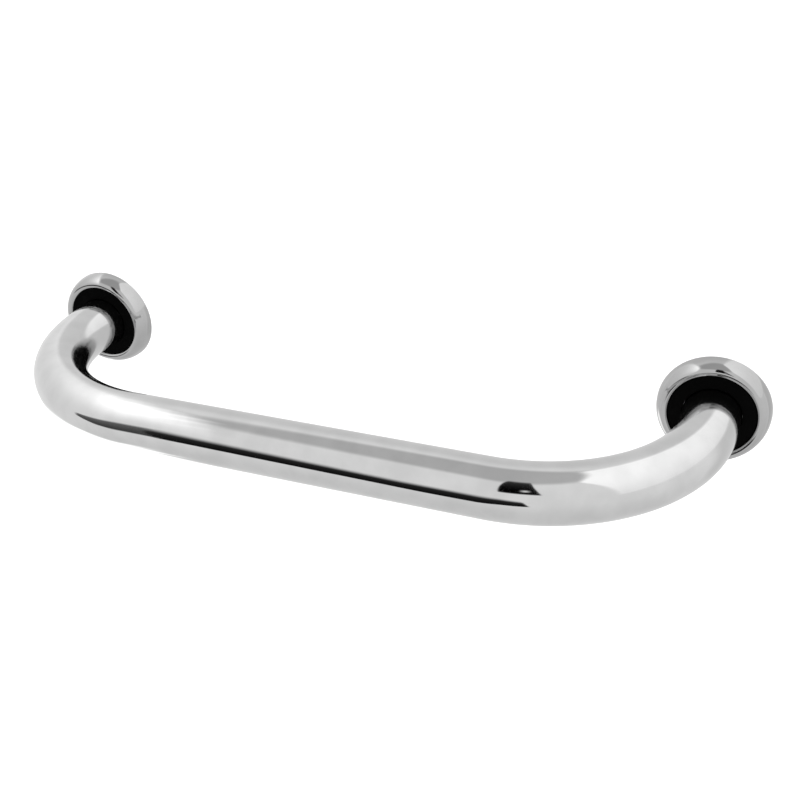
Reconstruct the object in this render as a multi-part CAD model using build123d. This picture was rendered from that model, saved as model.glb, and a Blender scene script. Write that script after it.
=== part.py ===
from build123d import *

import os
from math import sqrt

# Grab rail for a boat: a bent tube on two feet, each with a rosette that slides on its leg.
# Millimetres. X runs along the bar, the wall is the plane Y = 0 and the rail stands out to -Y,
# +Z is up. The origin is on the wall, midway between the two bolt holes.
# A height is a distance from the wall along a leg, so a height of 5 is at Y = -5.

# Driving dimensions
TUBE_D = 25.4
TUBE_WALL = 1.5
FOOT_CENTRES = 317.5
BEND_R = 3 * TUBE_D
BAR_HEIGHT = 95.25
ROSETTE_D = 50.0
ROSETTE_H = 9.2

# Worked out from them
TUBE_R = TUBE_D / 2
TUBE_BORE_R = TUBE_R - TUBE_WALL
FOOT_X = FOOT_CENTRES / 2
ROSETTE_R = ROSETTE_D / 2

# Running clearances between a rosette and the leg that it slides on
CORE_CLEARANCE = 0.3
GRIP_CLEARANCE = 0.08
GASKET_CLEARANCE = 0.5

# Rosette cover: pressed sheet with an elliptical dome, a lip rolled inwards and a hemmed rim
COVER_SHEET = 1.2
COVER_CREST_R = 20.7
COVER_LIP_R = 19.1
COVER_LIP_DROP = 1.5
COVER_RIM_H = 0.4
HEM_R = 23.2

# Stack inside the cover, from the wall outwards
GASKET_T = 1.1
GASKET_R = 23.0
RETAINER_T = 1.0
RETAINER_R = 23.6
RETAINER_BORE_R = 16.5
RETAINER_SPLIT = 9.0
CORE_FLANGE_R = 22.0
CORE_SHOULDER_H = 6.2
CORE_FACE_H = 8.2
CORE_FACE_GAP = 0.05
CORE_EDGE_R = 0.4

# O-ring in the core's bore
GRIP_SECTION_R = 1.0
GRIP_H = 4.4
GRIP_GROOVE_W = 2.3
GRIP_GROOVE_DEPTH = 1.9

# Threaded boss in each tube end, its weld and its seal
BOSS_LENGTH = 18.0
BOLT_HOLE_R = 3.4
BOLT_HOLE_DEPTH = 14.0
DRILL_POINT_DEPTH = 2.0
WELD_SIZE = 0.8
SEAL_SECTION_R = 0.9
SEAL_RING_R = 7.0
SEAL_GROOVE_W = 2.2


def ring(inner_r, outer_r, low_h, high_h):
    """Plain ring round a leg's axis, between two heights."""
    centre = Pos((inner_r + outer_r) / 2, -(low_h + high_h) / 2)
    return revolve(centre * Rectangle(outer_r - inner_r, high_h - low_h), axis=Axis.Y)


def turned(points):
    """Solid turned about a leg's axis from a closed outline of (radius, height) points."""
    outline = Polyline(*[(radius, -height) for radius, height in points], close=True)
    return revolve(make_face(outline), axis=Axis.Y)


def o_ring(centre_r, centre_h, section_r):
    return revolve(Pos(centre_r, -centre_h) * Circle(section_r), axis=Axis.Y)


def ellipse_ring(centre_h, radius_x, radius_y, reach):
    """Ring with a half ellipse as its section, on the crest's radius, from centre_h outwards."""
    ellipse = Pos(COVER_CREST_R, -centre_h) * Ellipse(radius_x, radius_y)
    outer_half = Pos(COVER_CREST_R, -centre_h - reach / 2) * Rectangle(reach, reach)
    return revolve(ellipse & outer_half, axis=Axis.Y)


def rail_tube():
    """One tube, bent twice. The inside of each end is chamfered for the weld."""
    centreline = FilletPolyline(
        (-FOOT_X, 0, 0),
        (-FOOT_X, -BAR_HEIGHT, 0),
        (FOOT_X, -BAR_HEIGHT, 0),
        (FOOT_X, 0, 0),
        radius=BEND_R,
    )
    end = Plane(origin=centreline @ 0, z_dir=centreline % 0)
    tube = sweep(end * (Circle(TUBE_R) - Circle(TUBE_BORE_R)), path=centreline)
    for side_x in (-FOOT_X, FOOT_X):
        tube -= Pos(side_x, 0, 0) * weld()
    return tube


def weld():
    """V-shaped weld ring, flush with the end faces of tube and boss."""
    return turned([
        (TUBE_BORE_R - WELD_SIZE, 0),
        (TUBE_BORE_R + WELD_SIZE, 0),
        (TUBE_BORE_R, WELD_SIZE),
    ])


def end_boss():
    """Plug with a blind bolt hole that opens to the wall, and a face groove for its seal."""
    boss = ring(0, TUBE_BORE_R, 0, BOSS_LENGTH)
    point_h = BOLT_HOLE_DEPTH + DRILL_POINT_DEPTH
    boss -= turned([(0, 0), (BOLT_HOLE_R, 0), (BOLT_HOLE_R, BOLT_HOLE_DEPTH), (0, point_h)])
    half_groove = SEAL_GROOVE_W / 2
    boss -= ring(SEAL_RING_R - half_groove, SEAL_RING_R + half_groove, 0, 2 * SEAL_SECTION_R)
    return boss - weld()


def rosette_cover():
    """Pressed ring. The dome and the lip meet at the crest, and the hem holds the retaining ring."""
    dome_r = ROSETTE_R - COVER_CREST_R
    lip_r = COVER_CREST_R - COVER_LIP_R
    lip_base_h = ROSETTE_H - COVER_LIP_DROP
    inner_dome_r = dome_r - COVER_SHEET
    inner_dome_h = ROSETTE_H - COVER_SHEET
    inner_lip_r = lip_r - COVER_SHEET

    reach = 2 * ROSETTE_H
    outside = ellipse_ring(0, dome_r, ROSETTE_H, reach)
    outside -= ring(0, COVER_CREST_R, 0, ROSETTE_H)
    outside += ellipse_ring(lip_base_h, lip_r, COVER_LIP_DROP, reach) & ring(0, COVER_CREST_R, 0, ROSETTE_H)
    outside += ring(COVER_LIP_R, COVER_CREST_R, CORE_SHOULDER_H, lip_base_h)

    inside = ellipse_ring(0, inner_dome_r, inner_dome_h, reach)
    inside -= ring(0, COVER_CREST_R - inner_lip_r, 0, ROSETTE_H)
    cover = outside - inside
    cover += ring(HEM_R, COVER_CREST_R + inner_dome_r, 0, GASKET_T)
    cover -= ring(0, ROSETTE_R, 0, COVER_RIM_H)
    return cover


def rosette_core():
    """Moulded bush: a flange under the cover's lip, a flat face inside it, a grooved bore."""
    bore_r = TUBE_R + CORE_CLEARANCE
    face = ring(bore_r, COVER_LIP_R - CORE_FACE_GAP, CORE_SHOULDER_H, CORE_FACE_H)
    face = fillet(face.edges().group_by(Axis.Y)[0], CORE_EDGE_R)
    flange = ring(bore_r, CORE_FLANGE_R, GASKET_T + RETAINER_T, CORE_SHOULDER_H)
    groove_low_h = GRIP_H - GRIP_GROOVE_W / 2
    groove = ring(0, bore_r + GRIP_GROOVE_DEPTH, groove_low_h, groove_low_h + GRIP_GROOVE_W)
    return face + flange - groove


def grip_ring():
    """O-ring that seals on the leg and keeps the rosette where it is put."""
    return o_ring(TUBE_R + GRIP_CLEARANCE + GRIP_SECTION_R, GRIP_H, GRIP_SECTION_R)


def retaining_ring():
    """Flat spring ring, split at the bottom, behind the core's flange."""
    whole = ring(RETAINER_BORE_R, RETAINER_R, GASKET_T, GASKET_T + RETAINER_T)
    split = Pos(0, 0, -RETAINER_R) * Box(RETAINER_SPLIT, ROSETTE_H, RETAINER_R)
    return whole - split


def wall_gasket():
    """Flat gasket between the rosette and the wall."""
    return ring(TUBE_R + GASKET_CLEARANCE, GASKET_R, 0, GASKET_T)


def foot_seal():
    """O-ring in the boss's face, round the bolt hole."""
    return o_ring(SEAL_RING_R, SEAL_SECTION_R, SEAL_SECTION_R)


FOOT_PIECES = {
    "end_boss": end_boss,
    "boss_weld": weld,
    "foot_seal": foot_seal,
    "rosette_cover": rosette_cover,
    "rosette_core": rosette_core,
    "grip_ring": grip_ring,
    "retaining_ring": retaining_ring,
    "wall_gasket": wall_gasket,
}

os.makedirs("parts", exist_ok=True)
export_step(rail_tube(), "parts/rail_tube.step")
for side, side_x in (("left", -FOOT_X), ("right", FOOT_X)):
    for name, make in FOOT_PIECES.items():
        export_step(Pos(side_x, 0, 0) * make(), f"parts/{name}_{side}.step")
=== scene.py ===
import bmesh
import bpy
import math
from mathutils import Matrix, Vector


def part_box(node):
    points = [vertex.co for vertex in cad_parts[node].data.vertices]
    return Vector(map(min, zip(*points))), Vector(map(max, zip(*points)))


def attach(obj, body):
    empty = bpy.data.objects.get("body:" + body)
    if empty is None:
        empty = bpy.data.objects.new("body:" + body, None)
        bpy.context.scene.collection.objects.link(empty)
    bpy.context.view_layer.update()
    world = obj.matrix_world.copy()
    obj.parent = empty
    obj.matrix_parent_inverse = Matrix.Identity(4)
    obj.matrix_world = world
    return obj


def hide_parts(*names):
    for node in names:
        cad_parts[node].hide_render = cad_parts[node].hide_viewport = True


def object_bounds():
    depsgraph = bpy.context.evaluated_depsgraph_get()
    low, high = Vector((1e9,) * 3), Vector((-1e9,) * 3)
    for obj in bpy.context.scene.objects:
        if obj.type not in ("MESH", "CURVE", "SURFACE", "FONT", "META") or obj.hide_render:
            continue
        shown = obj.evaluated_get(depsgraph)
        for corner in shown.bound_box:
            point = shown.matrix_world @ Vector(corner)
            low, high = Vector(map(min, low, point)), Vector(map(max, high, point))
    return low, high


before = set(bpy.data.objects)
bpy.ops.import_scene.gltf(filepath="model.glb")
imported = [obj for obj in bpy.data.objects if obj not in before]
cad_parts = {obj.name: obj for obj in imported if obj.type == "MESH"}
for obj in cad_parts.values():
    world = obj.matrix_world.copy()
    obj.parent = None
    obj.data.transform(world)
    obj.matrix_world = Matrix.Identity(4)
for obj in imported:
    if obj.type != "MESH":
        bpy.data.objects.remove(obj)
cad_low, cad_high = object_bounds()

# Camera: its direction from the origin and its roll in degrees, its place along and across that
# direction in metres, and its lens in mm
CAMERA_AZIMUTH = 21.97
CAMERA_ELEVATION = 28.64
CAMERA_ROLL = -1.54
CAMERA_DISTANCE = 0.5211
CAMERA_RIGHT = 0.0084
CAMERA_UP = -0.0214
CAMERA_LENS = 47.46

# White tent: light of its walls, a dimmer ceiling and a floor that darkens straight below. The ceiling's
# edge and inside are sines of elevation, and its lean moves them sideways.
WALL_LIGHT = 1.0
CEILING_LIGHT = 0.61
CEILING_EDGE = 0.84
CEILING_INSIDE = 0.94
CEILING_LEAN = -0.1
FLOOR_LIGHT = 0.82
OVERHEAD_LIGHT = 1.2
OVERHEAD_SPREAD = 60
FLOOR_DROP = 1.5
FLOOR_SIZE = 60.0
FLOOR_COLOUR = (0.97, 0.97, 0.97, 1)
FLOOR_ROUGHNESS = 0.9

# Screens of the tent: one hides another that stands further off
STUDIO_CENTRE = Vector((0, -0.06, 0))
BACK_DISTANCE = 36.0
SCREEN_DISTANCE = 30.0
NEAR_DISTANCE = 24.0
GLINT_DISTANCE = 20.0
SCREEN_STEPS = 10
UPRIGHT_STEPS = 8

# The feet and the bends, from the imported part
boss_low, boss_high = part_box("end_boss_right")
tube_low, tube_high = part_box("rail_tube")
FOOT_X = (boss_low.x + boss_high.x) / 2
BOSS_R = (boss_high.x - boss_low.x) / 2
BOSS_LENGTH = -boss_low.y
WELD_SIZE = -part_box("boss_weld_right")[0].y
TUBE_R = tube_high.z
BEND_DIAMETERS = 3
BEND_R = BEND_DIAMETERS * 2 * TUBE_R
BEND_CENTRE_X = FOOT_X - BEND_R
BEND_CENTRE_Y = tube_low.y + TUBE_R + BEND_R
BEND_STEPS = 48
TUBE_SEGMENTS = 144

# Bolt hole and its M8 thread, and the groove of the foot seal, in the end boss
HOLE_R = 0.0034
HOLE_DEPTH = 0.014
DRILL_POINT = 0.002
MOUTH_CHAMFER = 0.0004
THREAD_PITCH = 0.00125
THREAD_DEPTH = 0.0006
THREAD_ROWS = 16
THREAD_SEGMENTS = 96
SEAL_GROOVE_IN = 0.0059
SEAL_GROOVE_OUT = 0.0081
SEAL_GROOVE_DEPTH = 0.0018
EDGE_BREAK = 0.00012

# Weld bead: its ripples, their depth, and how far their crests lie under the end of the tube
BEAD_RIPPLES = 110
BEAD_CURL = 1.6
BEAD_DEPTH = 0.00014
BEAD_SINK = 0.000042
BEAD_ROWS = 12
BEAD_SEGMENTS = 1100

# O-ring in the core's bore, as it is squeezed on the tube: a flatness of 1 leaves it round
GRIP_INNER_R = 0.012705
GRIP_FLATNESS = 0.8
MOULD_LINE = 0.00003
RING_ROWS = 32
RING_SEGMENTS = 192

# Meshes: points closer than this are one point, and edges sharper than this stay sharp
MERGE_DISTANCE = 0.000001
SHARP_ANGLE = 35

# Stretches of a noise's values over which a mark goes from none to full
MIDDLE = (0.3, 0.7)
HAIRLINE_RANGE = (0.70, 0.76)
SMUDGE_RANGE = (0.42, 0.72)
STAIN_RANGE = (0.4, 0.7)
BLOOM_RANGE = (0.45, 0.75)
STRAW_RANGE = (0.35, 0.55)
BLUE_RANGE = (0.55, 0.7)
PIT_RANGE = (0.1, 0.55)

# Marks on polished metal: scales are 1 / size in metres, depths are in metres
SMUDGE_SCALE = 28.0
SMUDGE_ROUGHNESS = 0.03
SCRATCH_ROUGHNESS = 0.06
HAIRLINE_FINER = 2
HAIRLINE_SHORTER = 3
LEG_ROUGHNESS = 0.05
GLOSS_SPREAD = 0.2
MOTTLE_SCALE = 75.0
MOTTLE_DARK = 0.95
MOTTLE_LIGHT = 1.04
WAVE_DEPTH = 0.000012

# Lathe-turned steel: rings a tool feed apart, chatter across them, and stains
TURNED_COLOUR = (0.56, 0.56, 0.55)
STAIN_COLOUR = (0.40, 0.39, 0.37)
TURNED_ROUGHNESS = (0.22, 0.36)
TURNED_DEPTH = 0.000006
TOOL_FEED = 0.00022
TOOL_RING_SHARE = 0.5
CHATTER_ACROSS = 1300.0
CHATTER_ALONG = 0.2
STAIN_SCALE = 260.0

# Weld metal and its heat tint
WELD_COLOUR = (0.46, 0.45, 0.43)
STRAW_COLOUR = (0.44, 0.37, 0.27)
BLUE_COLOUR = (0.20, 0.24, 0.33)
HEAT_SCALE = 260.0
WELD_GRAIN_SCALE = 5000.0
WELD_GRAIN_DEPTH = 0.00002
WELD_ROUGHNESS = (0.28, 0.45)

# Rubbers: the bloom of the solid ones, and the cells of the foam
BLOOM_SCALE = 90.0
BLOOM_LIGHT = 1.8
GRAIN_ROUGHNESS = 0.08
CELL_SCALE = 1400.0
CLOUD_SCALE = 70.0
CLOUD_DARK = 0.7
PIT_DEPTH = 0.00012
# Darkest foam colour: painted shade in the open cells, which the cloud's random darker tone also leans
# towards
PIT_SHADE_AND_CLOUD_COLOUR = (0.008,) * 3
FOAM_COLOUR = (0.034,) * 3
FOAM_ROUGHNESS = (0.95, 0.8)
FOAM_SPECULAR = 0.25


def direction(azimuth, elevation):
    """Unit vector from the object: azimuth 0 points to -Y, 90 to +X."""
    a = math.radians(azimuth)
    e = math.radians(elevation)
    return Vector((math.sin(a) * math.cos(e), -math.cos(a) * math.cos(e), math.sin(e)))


def add_object(name, data):
    added = bpy.data.objects.new(name, data)
    bpy.context.scene.collection.objects.link(added)
    return added


def add_camera():
    back = direction(CAMERA_AZIMUTH, CAMERA_ELEVATION)
    level_right = Vector((0, 0, 1)).cross(back).normalized()
    level_up = back.cross(level_right)
    roll = math.radians(CAMERA_ROLL)
    right = level_right * math.cos(roll) + level_up * math.sin(roll)
    up = level_up * math.cos(roll) - level_right * math.sin(roll)
    data = bpy.data.cameras.new("camera")
    data.lens = CAMERA_LENS
    camera = add_object("camera", data)
    camera.matrix_world = Matrix((right, up, back)).transposed().to_4x4()
    camera.location = back * CAMERA_DISTANCE + right * CAMERA_RIGHT + up * CAMERA_UP
    bpy.context.scene.camera = camera


class Shade:
    """Short calls for the nodes of a new material or world. Values are sockets or plain numbers."""

    def __init__(self, owner):
        owner.use_nodes = True
        self.owner = owner
        self.tree = owner.node_tree

    def add(self, kind, values=(), **settings):
        """New node with these inputs and settings. Returns its outputs."""
        node = self.tree.nodes.new(kind)
        for name, setting in settings.items():
            setattr(node, name, setting)
        for socket, value in dict(values).items():
            self.put(node.inputs[socket], value)
        return node.outputs

    def put(self, socket, value):
        if isinstance(value, bpy.types.NodeSocket):
            self.tree.links.new(value, socket)
        else:
            socket.default_value = value

    def math(self, operation, *values):
        return self.add("ShaderNodeMath", enumerate(values), operation=operation)[0]

    def ramp(self, value, start, end, low=0.0, high=1.0):
        """Smooth step: low where the value is at start, and high where it is at end."""
        if start > end:
            start, end, low, high = end, start, high, low
        values = {"Value": value, "From Min": start, "From Max": end, "To Min": low, "To Max": high}
        return self.add("ShaderNodeMapRange", values, interpolation_type="SMOOTHSTEP")[0]

    def split(self, vector):
        """The three coordinates of a vector."""
        outputs = self.add("ShaderNodeSeparateXYZ", {0: vector})
        return outputs["X"], outputs["Y"], outputs["Z"]

    def position(self):
        """Coordinates in the frame: every object with a material here has its origin at the frame's."""
        return self.split(self.add("ShaderNodeTexCoord")["Object"])

    def vector(self, x, y, z):
        return self.add("ShaderNodeCombineXYZ", {"X": x, "Y": y, "Z": z})[0]

    def noise(self, place, scale, detail=2.0):
        """Noise whose grains are about 1 / scale wide, in metres. The place is three coordinates."""
        values = {"Vector": self.vector(*place), "Scale": scale, "Detail": detail}
        return self.add("ShaderNodeTexNoise", values)[0]

    def stretched_noise(self, place, across, along, detail=2.0):
        """Noise of fine lines. The place is (across, across, along), each with its own scale."""
        scales = (across, across, along)
        scaled = [self.math("MULTIPLY", value, scale) for value, scale in zip(place, scales)]
        return self.noise(scaled, 1.0, detail)

    def blend(self, share, low, high):
        """Colour from low to high, each a socket or (red, green, blue). The Mix node's colours are its
        inputs 6 and 7 and its output 2."""
        ends = [end if isinstance(end, bpy.types.NodeSocket) else (*end, 1) for end in (low, high)]
        return self.add("ShaderNodeMix", {0: share, 6: ends[0], 7: ends[1]}, data_type="RGBA")[2]

    def bump(self, height, depth, under=None):
        values = {"Height": height, "Distance": depth, "Strength": 1.0}
        if under is not None:
            values["Normal"] = under
        return self.add("ShaderNodeBump", values)[0]

    def finish(self, **inputs):
        """Set the shader's inputs and return the material. An underscore stands for a space."""
        for name, value in inputs.items():
            self.put(self.tree.nodes["Principled BSDF"].inputs[name.replace("_", " ")], value)
        return self.owner


def new_material(name):
    return Shade(bpy.data.materials.new(name))


def tent():
    """Light of the world: the walls', less of it from the ceiling, and less from straight below."""
    shade = Shade(bpy.data.worlds.new("studio"))
    x, _, z = shade.split(shade.add("ShaderNodeTexCoord")["Generated"])
    leaning = shade.math("MULTIPLY_ADD", x, CEILING_LEAN, z)
    ceiling = shade.ramp(leaning, CEILING_EDGE, CEILING_INSIDE, WALL_LIGHT, CEILING_LIGHT)
    below = shade.ramp(z, 0, -1, WALL_LIGHT, FLOOR_LIGHT)
    background = shade.tree.nodes["Background"]
    shade.put(background.inputs["Strength"], shade.math("MINIMUM", ceiling, below))
    shade.put(background.inputs["Color"], (1, 1, 1, 1))
    bpy.context.scene.world = shade.owner
    bpy.context.scene.view_settings.view_transform = "Standard"


def pale_floor():
    """Plain floor far below. Reflections show the tent's own floor instead."""
    reach = FLOOR_SIZE / 2
    corners = [(-reach, -reach, 0), (reach, -reach, 0), (reach, reach, 0), (-reach, reach, 0)]
    mesh = bpy.data.meshes.new("floor")
    mesh.from_pydata(corners, [], [(0, 1, 2, 3)])
    paper = new_material("pale_floor")
    mesh.materials.append(paper.finish(Base_Color=FLOOR_COLOUR, Roughness=FLOOR_ROUGHNESS))
    floor = add_object("floor", mesh)
    floor.location.z = cad_low.z - FLOOR_DROP
    floor.visible_glossy = False


def overhead_light():
    lamp = bpy.data.lights.new("overhead", "SUN")
    lamp.energy = OVERHEAD_LIGHT
    lamp.angle = math.radians(OVERHEAD_SPREAD)
    add_object("overhead", lamp).visible_glossy = False


def faded_edges(left, right, bottom, top):
    """Cover of a screen that fades out over these shares of its length or height."""

    def cover(shade, along, up):
        sides = shade.math("MULTIPLY", shade.ramp(along, 0, left), shade.ramp(along, 1, 1 - right))
        ends = shade.math("MULTIPLY", shade.ramp(up, 0, bottom), shade.ramp(up, 1, 1 - top))
        return shade.math("MULTIPLY", sides, ends)

    return cover


def faded_disc(bottom, top):
    """Cover of a round screen. Its rim is faded over one share at the bottom and another at the top."""

    def cover(shade, along, up):
        squares = [shade.math("POWER", shade.math("SUBTRACT", value, 0.5), 2.0) for value in (along, up)]
        radius = shade.math("SQRT", shade.math("ADD", *squares))
        rim = shade.ramp(up, 0, 1, bottom, top)
        return shade.ramp(shade.math("DIVIDE", shade.math("SUBTRACT", 0.5, radius), rim), 0, 1)

    return cover


def screen_material(name, tone, curve, cover):
    """Light that goes from the bottom's tone to the top's along a power curve."""
    shade = new_material(name)
    shade.tree.nodes.remove(shade.tree.nodes["Principled BSDF"])
    along, up, _ = shade.split(shade.add("ShaderNodeUVMap")[0])
    covered = cover(shade, along, up)
    bottom, top = tone
    strength = shade.math("MULTIPLY_ADD", shade.math("POWER", up, curve), top - bottom, bottom)
    glow = shade.add("ShaderNodeEmission", {"Strength": strength})[0]
    clear = shade.add("ShaderNodeBsdfTransparent")[0]
    mixed = shade.add("ShaderNodeMixShader", {0: covered, 1: clear, 2: glow})[0]
    shade.put(shade.tree.nodes["Material Output"].inputs["Surface"], mixed)
    return shade.owner


def between(start, end, share):
    return [a + (b - a) * share for a, b in zip(start, end)]


def screen(name, stations, tone, cover, curve=1.0, distance=SCREEN_DISTANCE):
    """Studio screen seen only in reflections. Each station is a pair of directions from the object,
    its lower and its upper end, each as (azimuth, elevation)."""
    points = []
    places = []
    columns = SCREEN_STEPS * (len(stations) - 1)
    for column in range(columns + 1):
        step = min(column // SCREEN_STEPS, len(stations) - 2)
        share = column / SCREEN_STEPS - step
        low, high = (between(*ends, share) for ends in zip(stations[step], stations[step + 1]))
        for row in range(SCREEN_STEPS + 1):
            rise = row / SCREEN_STEPS
            points.append(STUDIO_CENTRE + direction(*between(low, high, rise)) * distance)
            places.append((column / columns, rise))
    faces = []
    rows = SCREEN_STEPS + 1
    for column in range(columns):
        for row in range(SCREEN_STEPS):
            corner = column * rows + row
            faces.append((corner, corner + rows, corner + rows + 1, corner + 1))
    mesh = bpy.data.meshes.new(name)
    mesh.from_pydata(points, [], faces)
    layer = mesh.uv_layers.new(name="place")
    for loop in mesh.loops:
        layer.data[loop.index].uv = places[loop.vertex_index]
    mesh.materials.append(screen_material(name, tone, curve, cover))
    piece = add_object(name, mesh)
    piece.visible_camera = False
    piece.visible_shadow = False


def upright(azimuth, left, right, low, high):
    """Stations of a flat upright screen that faces the object. Its edges are given in wall distances
    from the point level with the object, and its corners come out as directions."""
    stations = []
    for step in range(UPRIGHT_STEPS + 1):
        along = left + (right - left) * step / UPRIGHT_STEPS
        reach = math.hypot(1, along)
        turn = azimuth + math.degrees(math.atan(along))
        stations.append([(turn, math.degrees(math.atan(height / reach))) for height in (low, high)])
    return stations


def lit_screens():
    """A round light to the left, a wide one to the right, the wall behind, and a lit patch of floor."""
    screen(
        "left_light",
        upright(azimuth=-87, left=-1.85, right=1.85, low=-1.6, high=1.9),
        tone=(0.95, 2.5),
        curve=7.2,
        cover=faded_disc(bottom=0.45, top=0.05),
    )
    screen(
        "back_wall",
        upright(azimuth=180, left=-1.9, right=1.6, low=-1.7, high=1.9),
        tone=(0.76, 0.86),
        cover=faded_edges(left=0.25, right=0.3, bottom=0.2, top=0.25),
        distance=BACK_DISTANCE,
    )
    screen(
        "right_light",
        upright(azimuth=115, left=-1.6, right=1.75, low=0.1, high=4.4),
        tone=(1.05, 1.5),
        curve=0.6,
        cover=faded_edges(left=0.06, right=0.15, bottom=0.1, top=0.06),
    )
    screen(
        "floor_bounce",
        [
            ((-142, -46), (-140, -32)),
            ((-125, -53), (-125, -27)),
            ((-100, -61), (-105, -30)),
            ((-66, -56), (-78, -42)),
        ],
        tone=(1.7, 1.7),
        cover=faded_edges(left=0.25, right=0.15, bottom=0.12, top=0.3),
        distance=NEAR_DISTANCE,
    )


def dark_screens():
    """The camera's side, with a glint in it, and the dark gap under the front and left walls."""
    screen(
        "camera_side",
        [((-5, 24), (-11, 72)), ((20, 24), (13, 72))],
        tone=(0.0, 0.07),
        curve=3.0,
        cover=faded_edges(left=0.05, right=0.05, bottom=0.1, top=0.16),
    )
    screen(
        "glint",
        [((6, 32), (6, 43)), ((14, 32), (14, 43))],
        tone=(0.9, 0.9),
        cover=faded_edges(left=0.5, right=0.5, bottom=0.5, top=0.5),
        distance=GLINT_DISTANCE,
    )
    screen(
        "gap_front",
        [((-34, -16), (-34, 19)), ((-18, -27), (-18, 5)), ((-2, -20), (-3, 6)), ((14, -18), (9, 2))],
        tone=(0.0, 0.04),
        cover=faded_edges(left=0.02, right=0.04, bottom=0.08, top=0.42),
        distance=NEAR_DISTANCE,
    )
    screen(
        "gap_left",
        [((-64, -5), (-64, 1)), ((-48, -13), (-48, 9)), ((-33, -16), (-33, 17))],
        tone=(0.03, 0.2),
        cover=faded_edges(left=0.12, right=0.02, bottom=0.15, top=0.25),
        distance=NEAR_DISTANCE,
    )


def distance_from(shade, *offsets):
    """Length of the offsets taken together."""
    squares = [shade.math("POWER", value, 2.0) for value in offsets]
    return shade.math("SQRT", shade.math("ADD", *squares))


def tube_place(shade):
    """Place on the bent tube: two coordinates across it, and one along it."""
    x, y, z = shade.position()
    past_bar = shade.math("SUBTRACT", shade.math("ABSOLUTE", x), BEND_CENTRE_X)
    past_leg = shade.math("SUBTRACT", BEND_CENTRE_Y, y)
    in_bend = [shade.math("MAXIMUM", value, 0.0) for value in (past_bar, past_leg)]
    return distance_from(shade, *in_bend), z, shade.math("SUBTRACT", x, y)


def foot_place(shade):
    """Place on a turned piece: its radius from the leg's axis, its depth, and the angle round."""
    x, y, z = shade.position()
    sideways = shade.math("SUBTRACT", shade.math("ABSOLUTE", x), FOOT_X)
    return distance_from(shade, sideways, z), y, shade.math("ARCTAN2", z, sideways)


def leg_dullness(shade):
    """Extra roughness of the hand-buffed legs, which starts where the bar ends."""
    x, _, _ = shade.position()
    return shade.ramp(shade.math("ABSOLUTE", x), BEND_CENTRE_X, FOOT_X, 0.0, LEG_ROUGHNESS)


def no_dullness(shade):
    return 0.0


def polished_steel(name, place_of, grey, gloss, across, along, depth, dullness=no_dullness):
    """Buffed metal with its own grey, gloss (roughness) and buffing lines, which have a scale across
    and along them and a depth. It has hairline scratches, faint smudges and a slight waviness."""
    shade = new_material(name)
    place = place_of(shade)
    spot = shade.position()
    buffing = shade.stretched_noise(place, across, along, detail=3.0)
    lines = shade.stretched_noise(place, across * HAIRLINE_FINER, along * HAIRLINE_SHORTER)
    hairline = shade.ramp(lines, *HAIRLINE_RANGE)
    smudge = shade.ramp(shade.noise(spot, SMUDGE_SCALE, detail=4.0), *SMUDGE_RANGE)
    mottle = shade.noise(spot, MOTTLE_SCALE, detail=3.0)
    clean = shade.ramp(buffing, *MIDDLE, gloss * (1 - GLOSS_SPREAD), gloss * (1 + GLOSS_SPREAD))
    dulled = shade.math("ADD", clean, dullness(shade))
    smudged = shade.math("MULTIPLY_ADD", smudge, SMUDGE_ROUGHNESS, dulled)
    scratched = shade.math("MULTIPLY_ADD", hairline, SCRATCH_ROUGHNESS, smudged)
    low = (grey * MOTTLE_DARK,) * 3
    high = (grey * MOTTLE_LIGHT,) * 3
    return shade.finish(
        Base_Color=shade.blend(shade.ramp(mottle, *MIDDLE), low, high),
        Metallic=1.0,
        Roughness=scratched,
        Normal=shade.bump(buffing, depth, under=shade.bump(mottle, WAVE_DEPTH)),
    )


def turned_steel():
    """Lathe-turned face: fine rings of the tool, with light stains."""
    shade = new_material("turned_steel")
    place = foot_place(shade)
    radius, depth, _ = place
    profile = shade.math("ADD", radius, depth)
    rings = shade.math("SINE", shade.math("MULTIPLY", profile, 2 * math.pi / TOOL_FEED))
    chatter = shade.stretched_noise(place, CHATTER_ACROSS, CHATTER_ALONG, detail=1.5)
    marks = shade.math("MULTIPLY_ADD", rings, TOOL_RING_SHARE, chatter)
    stain = shade.ramp(shade.noise(shade.position(), STAIN_SCALE, detail=4.0), *STAIN_RANGE)
    return shade.finish(
        Base_Color=shade.blend(stain, TURNED_COLOUR, STAIN_COLOUR),
        Metallic=1.0,
        Roughness=shade.ramp(chatter, *MIDDLE, *TURNED_ROUGHNESS),
        Normal=shade.bump(marks, TURNED_DEPTH),
    )


def weld_metal():
    """Bare weld bead with straw and blue heat tint in patches."""
    shade = new_material("weld_metal")
    spot = shade.position()
    heat = shade.noise(spot, HEAT_SCALE, detail=3.0)
    grain = shade.noise(spot, WELD_GRAIN_SCALE)
    straw = shade.blend(shade.ramp(heat, *STRAW_RANGE), WELD_COLOUR, STRAW_COLOUR)
    return shade.finish(
        Base_Color=shade.blend(shade.ramp(heat, *BLUE_RANGE), straw, BLUE_COLOUR),
        Metallic=1.0,
        Roughness=shade.ramp(grain, *MIDDLE, *WELD_ROUGHNESS),
        Normal=shade.bump(grain, WELD_GRAIN_DEPTH),
    )


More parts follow.
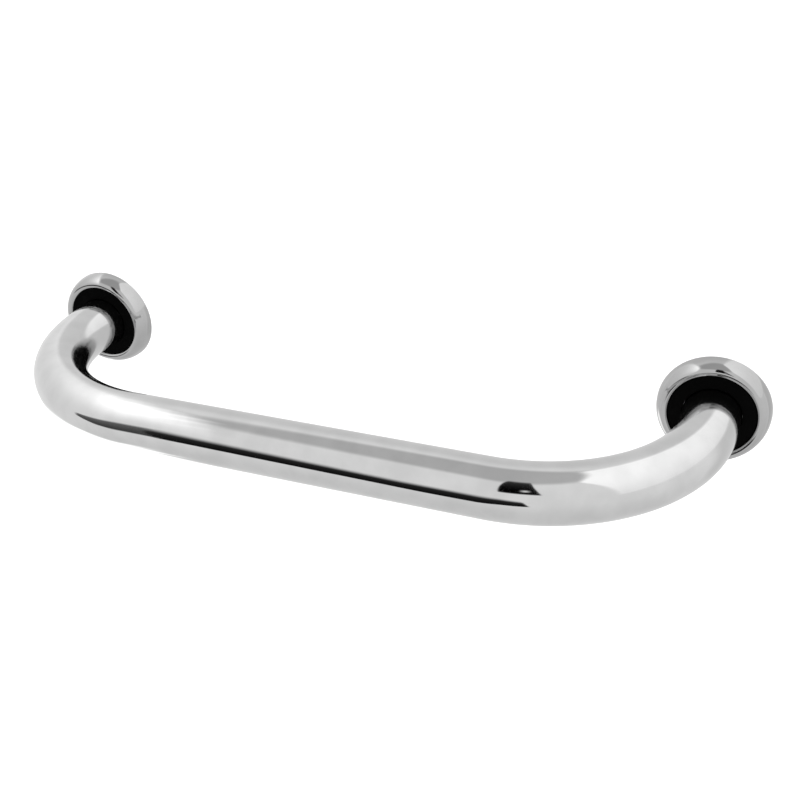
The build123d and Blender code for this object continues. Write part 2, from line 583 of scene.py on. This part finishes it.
def moulded_rubber(name, grey, roughness, specular, grain_scale, grain_depth):
    """Matt black rubber with a fine moulded grain and a faint dusty bloom."""
    shade = new_material(name)
    spot = shade.position()
    grain = shade.noise(spot, grain_scale, detail=3.0)
    bloom = shade.ramp(shade.noise(spot, BLOOM_SCALE, detail=5.0), *BLOOM_RANGE)
    rough_range = (roughness - GRAIN_ROUGHNESS, roughness + GRAIN_ROUGHNESS)
    return shade.finish(
        Base_Color=shade.blend(bloom, (grey,) * 3, (grey * BLOOM_LIGHT,) * 3),
        Roughness=shade.ramp(grain, *MIDDLE, *rough_range),
        Specular_IOR_Level=specular,
        Normal=shade.bump(grain, grain_depth),
    )


def foam_rubber():
    """Closed-cell sheet: small round cells, cut open here and there, in charcoal rubber. The open cells are
    painted darker, as painted shade in their hollows.
    """
    shade = new_material("gasket_rubber")
    spot = shade.position()
    cells = shade.add("ShaderNodeTexVoronoi", {"Vector": shade.vector(*spot), "Scale": CELL_SCALE})
    pits = shade.ramp(cells["Distance"], *PIT_RANGE)
    cloud = shade.ramp(shade.noise(spot, CLOUD_SCALE, detail=4.0), *MIDDLE, CLOUD_DARK, 1.0)
    return shade.finish(
        # Painted shade: the colour darkens towards each open cell's middle, where the bump makes it deepest;
        # the cloud adds random darker tone
        Base_Color=shade.blend(shade.math("MULTIPLY", pits, cloud), PIT_SHADE_AND_CLOUD_COLOUR, FOAM_COLOUR),
        Roughness=shade.ramp(pits, 0, 1, *FOAM_ROUGHNESS),
        Specular_IOR_Level=FOAM_SPECULAR,
        Normal=shade.bump(pits, PIT_DEPTH),
    )


def wrapped(rings):
    """Points of all the rings, and the faces that join each to the next and the last to the first."""
    points = [point for ring in rings for point in ring]
    around = len(rings[0])
    faces = []
    for ring in range(len(rings)):
        here = ring * around
        there = (ring + 1) % len(rings) * around
        for step in range(around):
            following = (step + 1) % around
            faces.append((here + step, here + following, there + following, there + step))
    return points, faces


def turned(side_x, profile, segments):
    """Closed shape turned about a leg's axis. The profile gives, for an angle, its (radius, height)
    points, from the axis or round a closed ring; the number of points is the same at each angle."""
    outlines = []
    for step in range(segments):
        angle = 2 * math.pi * step / segments
        outlines.append([
            (side_x + radius * math.cos(angle), -height, radius * math.sin(angle))
            for radius, height in profile(angle)
        ])
    return wrapped(outlines)


def smooth_tube():
    """The bent tube in fine steps, with the inner chamfer of the weld at each end."""
    stations = [(-FOOT_X, 0.0, 0.0), (-FOOT_X, -WELD_SIZE, 0.0)]
    for side, first_turn in ((-1, 0.0), (1, math.pi / 2)):
        for step in range(BEND_STEPS + 1):
            turn = first_turn + math.pi / 2 * step / BEND_STEPS
            x = side * BEND_CENTRE_X - BEND_R * math.cos(turn)
            stations.append((x, BEND_CENTRE_Y - BEND_R * math.sin(turn), turn))
    stations += [(FOOT_X, -WELD_SIZE, math.pi), (FOOT_X, 0.0, math.pi)]
    outside = [(station, TUBE_R) for station in stations]
    inside = [(station, BOSS_R) for station in reversed(stations)]
    inside[0] = (stations[-1], BOSS_R + WELD_SIZE)
    inside[-1] = (stations[0], BOSS_R + WELD_SIZE)
    rings = []
    for (x, y, turn), radius in outside + inside:
        ring = []
        for step in range(TUBE_SEGMENTS):
            angle = 2 * math.pi * step / TUBE_SEGMENTS
            out = radius * math.cos(angle)
            ring.append((x - out * math.cos(turn), y - out * math.sin(turn), radius * math.sin(angle)))
        rings.append(ring)
    return wrapped(rings)


def threaded_boss(side_x):
    """The end boss with its real thread cut into the wall of the bolt hole."""
    rows = round(HOLE_DEPTH / THREAD_PITCH * THREAD_ROWS)
    outside = [
        (SEAL_GROOVE_IN - EDGE_BREAK, 0.0),
        (SEAL_GROOVE_IN, EDGE_BREAK),
        (SEAL_GROOVE_IN, SEAL_GROOVE_DEPTH),
        (SEAL_GROOVE_OUT, SEAL_GROOVE_DEPTH),
        (SEAL_GROOVE_OUT, EDGE_BREAK),
        (SEAL_GROOVE_OUT + EDGE_BREAK, 0.0),
        (BOSS_R - WELD_SIZE, 0.0),
        (BOSS_R, WELD_SIZE),
        (BOSS_R, BOSS_LENGTH),
        (0.0, BOSS_LENGTH),
    ]

    def profile(angle):
        hole = [(0.0, HOLE_DEPTH + DRILL_POINT)]
        for row in range(rows, -1, -1):
            height = HOLE_DEPTH * row / rows
            turns = height / THREAD_PITCH - angle / (2 * math.pi)
            groove = 0.5 - 0.5 * math.cos(2 * math.pi * turns)
            run_out = min(1.0, (HOLE_DEPTH - height) / THREAD_PITCH)
            mouth = max(0.0, MOUTH_CHAMFER - height)
            hole.append((HOLE_R + max(THREAD_DEPTH * groove * run_out, mouth), height))
        return hole + outside

    return turned(side_x, profile, THREAD_SEGMENTS)


def weld_bead(side_x):
    """The weld's V with a rippled face, dressed just under the end of the tube."""

    def profile(angle):
        outline = [(BOSS_R, WELD_SIZE)]
        for row in range(BEAD_ROWS + 1):
            across = 2 * row / BEAD_ROWS - 1
            ripple = 0.5 - 0.5 * math.sin(BEAD_RIPPLES * angle - BEAD_CURL * across ** 2)
            depth = BEAD_DEPTH * ripple * (1 - across ** 4) + BEAD_SINK
            outline.append((BOSS_R + across * (WELD_SIZE - depth), depth))
        return outline

    return turned(side_x, profile, BEAD_SEGMENTS)


def squeezed_ring(side_x, node):
    """The O-ring in the core's bore, pressed flat where it grips the tube, with its moulding line."""
    low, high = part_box(node)
    outer_r = (high.x - low.x) / 2
    middle_r = (outer_r + GRIP_INNER_R) / 2
    middle_height = -(low.y + high.y) / 2
    half_height = (high.y - low.y) / 2

    def profile(angle):
        outline = []
        for row in range(RING_ROWS):
            turn = 2 * math.pi * row / RING_ROWS
            across = math.copysign(abs(math.cos(turn)) ** GRIP_FLATNESS, math.cos(turn))
            line = MOULD_LINE if row in (RING_ROWS // 4, 3 * RING_ROWS // 4) else 0.0
            radius = middle_r + across * (outer_r - middle_r)
            outline.append((radius, middle_height + math.sin(turn) * (half_height + line)))
        return outline

    return turned(side_x, profile, RING_SEGMENTS)


def add_piece(name, shape, material, body, replaced):
    """Make a clean closed mesh with sharp edges kept, in place of a CAD node."""
    points, faces = shape
    mesh = bpy.data.meshes.new(name)
    mesh.from_pydata(points, [], faces)
    clean = bmesh.new()
    clean.from_mesh(mesh)
    bmesh.ops.remove_doubles(clean, verts=clean.verts, dist=MERGE_DISTANCE)
    bmesh.ops.recalc_face_normals(clean, faces=clean.faces)
    clean.to_mesh(mesh)
    clean.free()
    mesh.shade_smooth()
    mesh.set_sharp_from_angle(angle=math.radians(SHARP_ANGLE))
    mesh.materials.append(material)
    piece = add_object(name, mesh)
    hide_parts(replaced)
    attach(piece, body)


def give(node, material):
    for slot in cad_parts[node].material_slots:
        slot.material = material


def node_finishes(seal_finish):
    """Materials of the CAD nodes that are shown as they are."""
    return {
        "rosette_cover": polished_steel(
            "polished_cover", foot_place, grey=0.45, gloss=0.075, across=700.0, along=0.15, depth=0.000002
        ),
        "retaining_ring": polished_steel(
            "spring_steel", foot_place, grey=0.40, gloss=0.28, across=1500.0, along=0.3, depth=0.000008
        ),
        "rosette_core": moulded_rubber(
            "core_rubber", grey=0.0012, roughness=0.8, specular=0.03, grain_scale=3500.0, grain_depth=0.00002
        ),
        "foot_seal": seal_finish,
        "wall_gasket": foam_rubber(),
    }


add_camera()
tent()
pale_floor()
overhead_light()
lit_screens()
dark_screens()

tube_finish = polished_steel(
    "polished_tube", tube_place, grey=0.62, gloss=0.04, across=700.0, along=7.0, depth=0.000005,
    dullness=leg_dullness,
)
seal_finish = moulded_rubber(
    "seal_rubber", grey=0.006, roughness=0.45, specular=0.3, grain_scale=1200.0, grain_depth=0.00001
)
finishes = node_finishes(seal_finish)
turned_finish = turned_steel()
weld_finish = weld_metal()

add_piece("bent_tube", smooth_tube(), tube_finish, "rail", "rail_tube")
for side, x in (("left", -FOOT_X), ("right", FOOT_X)):
    for node, finish in finishes.items():
        give(f"{node}_{side}", finish)
    boss, weld, ring = (f"{node}_{side}" for node in ("end_boss", "boss_weld", "grip_ring"))
    add_piece(f"threaded_boss_{side}", threaded_boss(x), turned_finish, "rail", boss)
    add_piece(f"weld_bead_{side}", weld_bead(x), weld_finish, "rail", weld)
    gripping = squeezed_ring(x, ring)
    add_piece(f"squeezed_ring_{side}", gripping, seal_finish, f"{side}_grip", ring)
